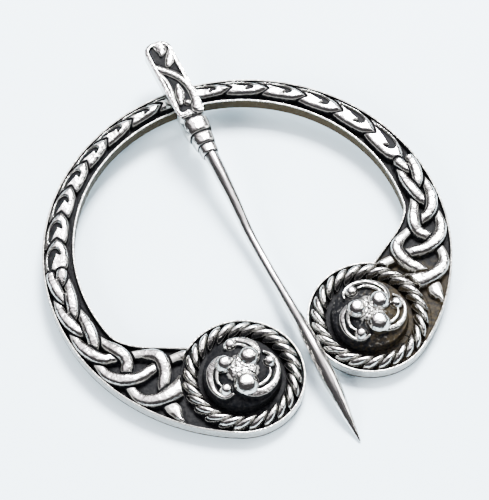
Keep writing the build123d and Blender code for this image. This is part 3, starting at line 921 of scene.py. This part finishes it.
def polish_group():
    """Where the oxide has been rubbed off, and where shade is painted as film: the piece's own mark, its
    edges made ragged by a grain.
    """
    group, put, out = new_group(
        "rubbed polish", [("Mark", 1.0), ("Grain", 3200.0), ("Raggedness", 0.3)],
        [("Polish", "NodeSocketFloat")],
    )
    place = group.nodes.new("ShaderNodeTexCoord").outputs["Object"]
    grain = noise_node(group, place, put.outputs["Grain"], 5.0)
    drift = math_node(group, "MULTIPLY", math_node(group, "SUBTRACT", grain, 0.5), put.outputs["Raggedness"])
    worn = math_node(group, "ADD", put.outputs["Mark"], drift)
    group.links.new(range_node(group, worn, 0.28, 0.62), out.inputs["Polish"])
    return group


def oxide_group():
    """The dark film in the recesses, also laid as painted shade where the polish mark is low: near black,
    with brown where the piece is marked warm.
    """
    group, put, out = new_group(
        "dark oxide", [("Warmth", 0.3), ("Patches", 2200.0)],
        [("Color", "NodeSocketColor")],
    )
    place = group.nodes.new("ShaderNodeTexCoord").outputs["Object"]
    patches = noise_node(group, place, put.outputs["Patches"], 6.0)
    specks = noise_node(group, place, 3200.0, 3.0)
    share = range_node(group, math_node(group, "ADD", patches, put.outputs["Warmth"]), 0.95, 1.55)
    black, gray, brown = (0.001, 0.0013, 0.002, 1), (0.005, 0.005, 0.0055, 1), (0.024, 0.018, 0.009, 1)
    film = mix_colors(group, range_node(group, specks, 0.4, 0.7), black, gray)
    group.links.new(mix_colors(group, share, film, brown), out.inputs["Color"])
    return group


def wear_group():
    """The uneven, hand finished surface as a height: broad swells with a finer grain on them."""
    group, put, out = new_group(
        "worn surface", [("Swells", 1100.0), ("Grain", 3400.0), ("Grain share", 0.2), ("Stretch", 1.0)],
        [("Height", "NodeSocketFloat")],
    )
    place = group.nodes.new("ShaderNodeTexCoord").outputs["Object"]
    scale = group.nodes.new("ShaderNodeCombineXYZ")
    scale.inputs["X"].default_value = scale.inputs["Z"].default_value = 1
    group.links.new(put.outputs["Stretch"], scale.inputs["Y"])
    drawn = group.nodes.new("ShaderNodeVectorMath")
    drawn.operation = "MULTIPLY"
    group.links.new(place, drawn.inputs[0])
    group.links.new(scale.outputs[0], drawn.inputs[1])
    swells = noise_node(group, drawn.outputs[0], put.outputs["Swells"], 2.0)
    grain = noise_node(group, drawn.outputs[0], put.outputs["Grain"], 3.0)
    height = math_node(group, "ADD", swells, math_node(group, "MULTIPLY", grain, put.outputs["Grain share"]))
    group.links.new(height, out.inputs["Height"])
    return group


def silver_material(name, color, bump_depth, swells, stretch):
    """Silver with a dark film in its recesses and as painted shade on the walls' feet and the collar's left
    side, and an uneven surface drawn out by stretch along Y.
    """
    material = bpy.data.materials.new(name)
    material.use_nodes = True
    tree = material.node_tree
    shader = tree.nodes["Principled BSDF"]
    marks = []
    for label in ("shine_and_shade", "warm"):
        mark = tree.nodes.new("ShaderNodeAttribute")
        mark.attribute_name = label
        marks.append(mark.outputs["Fac"])
    placed = []
    for group in (polish_and_shade_group, oxide_and_painted_shade, worn_surface):
        node = tree.nodes.new("ShaderNodeGroup")
        node.node_tree = group
        placed.append(node)
    polish_and_shade, film, worn = placed
    polish_and_shade.inputs["Raggedness"].default_value = 0.36
    worn.inputs["Swells"].default_value = swells
    worn.inputs["Stretch"].default_value = stretch
    tree.links.new(marks[0], polish_and_shade.inputs["Mark"])
    tree.links.new(marks[1], film.inputs["Warmth"])
    share = polish_and_shade.outputs["Polish"]
    tree.links.new(mix_colors(tree, share, film.outputs["Color"], color), shader.inputs["Base Color"])
    tree.links.new(range_node(tree, share, 0, 1, 0.6, 0.16, False), shader.inputs["Roughness"])
    tree.links.new(share, shader.inputs["Metallic"])
    shader.inputs["Specular IOR Level"].default_value = 0.06
    bump = tree.nodes.new("ShaderNodeBump")
    bump.inputs["Strength"].default_value = 1.0
    bump.inputs["Distance"].default_value = bump_depth
    tree.links.new(worn.outputs["Height"], bump.inputs["Height"])
    tree.links.new(bump.outputs["Normal"], shader.inputs["Normal"])
    return material


polish_and_shade_group, oxide_and_painted_shade, worn_surface = polish_group(), oxide_group(), wear_group()
cast_silver = silver_material("cast silver", (0.56, 0.555, 0.53, 1), 0.00013, 1100.0, 1.0)
drawn_silver = silver_material("drawn silver", (0.62, 0.61, 0.59, 1), 0.00003, 2400.0, 0.02)
hoop_pieces = [
    make_band("band_left", -1, cast_silver),
    make_band("band_right", 1, cast_silver),
    make_roundel("roundel_left", -1, cast_silver),
    make_roundel("roundel_right", 1, cast_silver),
]
pin_pieces = [
    make_head(cast_silver), make_collar(cast_silver), make_shank(drawn_silver), make_loop(drawn_silver),
]
for piece in hoop_pieces:
    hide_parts("hoop")
for piece in pin_pieces:
    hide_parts("pin")

# Floor, light and camera, in metres
floor_mesh = bpy.data.meshes.new("floor")
floor_mesh.from_pydata([(-2, -2, 0), (2, -2, 0), (2, 2, 0), (-2, 2, 0)], [], [(0, 1, 2, 3)])
floor = bpy.data.objects.new("floor", floor_mesh)
bpy.context.scene.collection.objects.link(floor)
floor_paint = bpy.data.materials.new("pale paper")
floor_paint.use_nodes = True
paper = floor_paint.node_tree.nodes["Principled BSDF"]
paper.inputs["Base Color"].default_value = (0.72, 0.87, 0.965, 1)
paper.inputs["Roughness"].default_value = 0.9
floor_mesh.materials.append(floor_paint)

world = bpy.data.worlds.new("studio")
bpy.context.scene.world = world
world.use_nodes = True
sky = world.node_tree
sky.nodes["Background"].inputs["Color"].default_value = (1.0, 0.93, 1.0, 1)
toward = sky.nodes.new("ShaderNodeVectorMath")
toward.operation = "DOT_PRODUCT"
toward.inputs[1].default_value = (0.236, 0.451, 0.861)   # where flat silver mirrors the camera's view
sky.links.new(sky.nodes.new("ShaderNodeTexCoord").outputs["Generated"], toward.inputs[0])
lobe_power, lobe_strength, sky_strength = 14.0, 9.0, 0.10
lobe = math_node(sky, "POWER", math_node(sky, "MAXIMUM", toward.outputs["Value"], 0.0), lobe_power)
strength = math_node(sky, "MULTIPLY_ADD", lobe, lobe_strength, sky_strength)
sky.links.new(strength, sky.nodes["Background"].inputs["Strength"])


def softbox(name, place, size, power):
    """A rectangle of light that faces the brooch."""
    light = bpy.data.lights.new(name, "AREA")
    light.shape = "RECTANGLE"
    light.size, light.size_y = size
    light.energy = power
    lamp = bpy.data.objects.new(name, light)
    bpy.context.scene.collection.objects.link(lamp)
    lamp.location = place
    lamp.rotation_euler = (-Vector(place)).to_track_quat("-Z", "Y").to_euler()
    return lamp


softbox("key", (0.20, 0.22, 0.42), (0.18, 0.18), 16.5)
softbox("right", (0.40, -0.05, 0.35), (0.16, 0.24), 2.0)
fill = softbox("left", (-0.38, -0.16, 0.26), (0.24, 0.24), 6.0)
fill.visible_glossy = False   # it only softens the shadows, and the silver doesn't mirror it

camera_rise = radians(59.43)
camera_turn = radians(27.6)
camera_reach = 0.25
picture_w = 500          # the shifts are in pixels of a picture this long
look = lay_down @ np.array([
    sin(camera_turn) * cos(camera_rise), cos(camera_turn) * cos(camera_rise), -sin(camera_rise),
])
target = to_row(np.array([0.638, 0.082, 0.0]))
camera_data = bpy.data.cameras.new("camera")
camera = bpy.data.objects.new("camera", camera_data)
bpy.context.scene.collection.objects.link(camera)
camera_data.sensor_width = 36
camera_data.lens = 164.4
camera_data.shift_x = -2.5 / picture_w
camera_data.shift_y = -5.0 / picture_w
camera_data.clip_start = 0.01
back = -look / np.linalg.norm(look)
up = lay_down @ np.array([0.0, 0, 1])
right = np.cross(up, back)
right /= np.linalg.norm(right)
up = np.cross(back, right)
camera.matrix_world = Matrix([
    (*[float(v) for v in row], float(p))
    for row, p in zip(np.stack([right, up, back], -1), target + back * camera_reach)
] + [(0, 0, 0, 1)])
bpy.context.scene.camera = camera
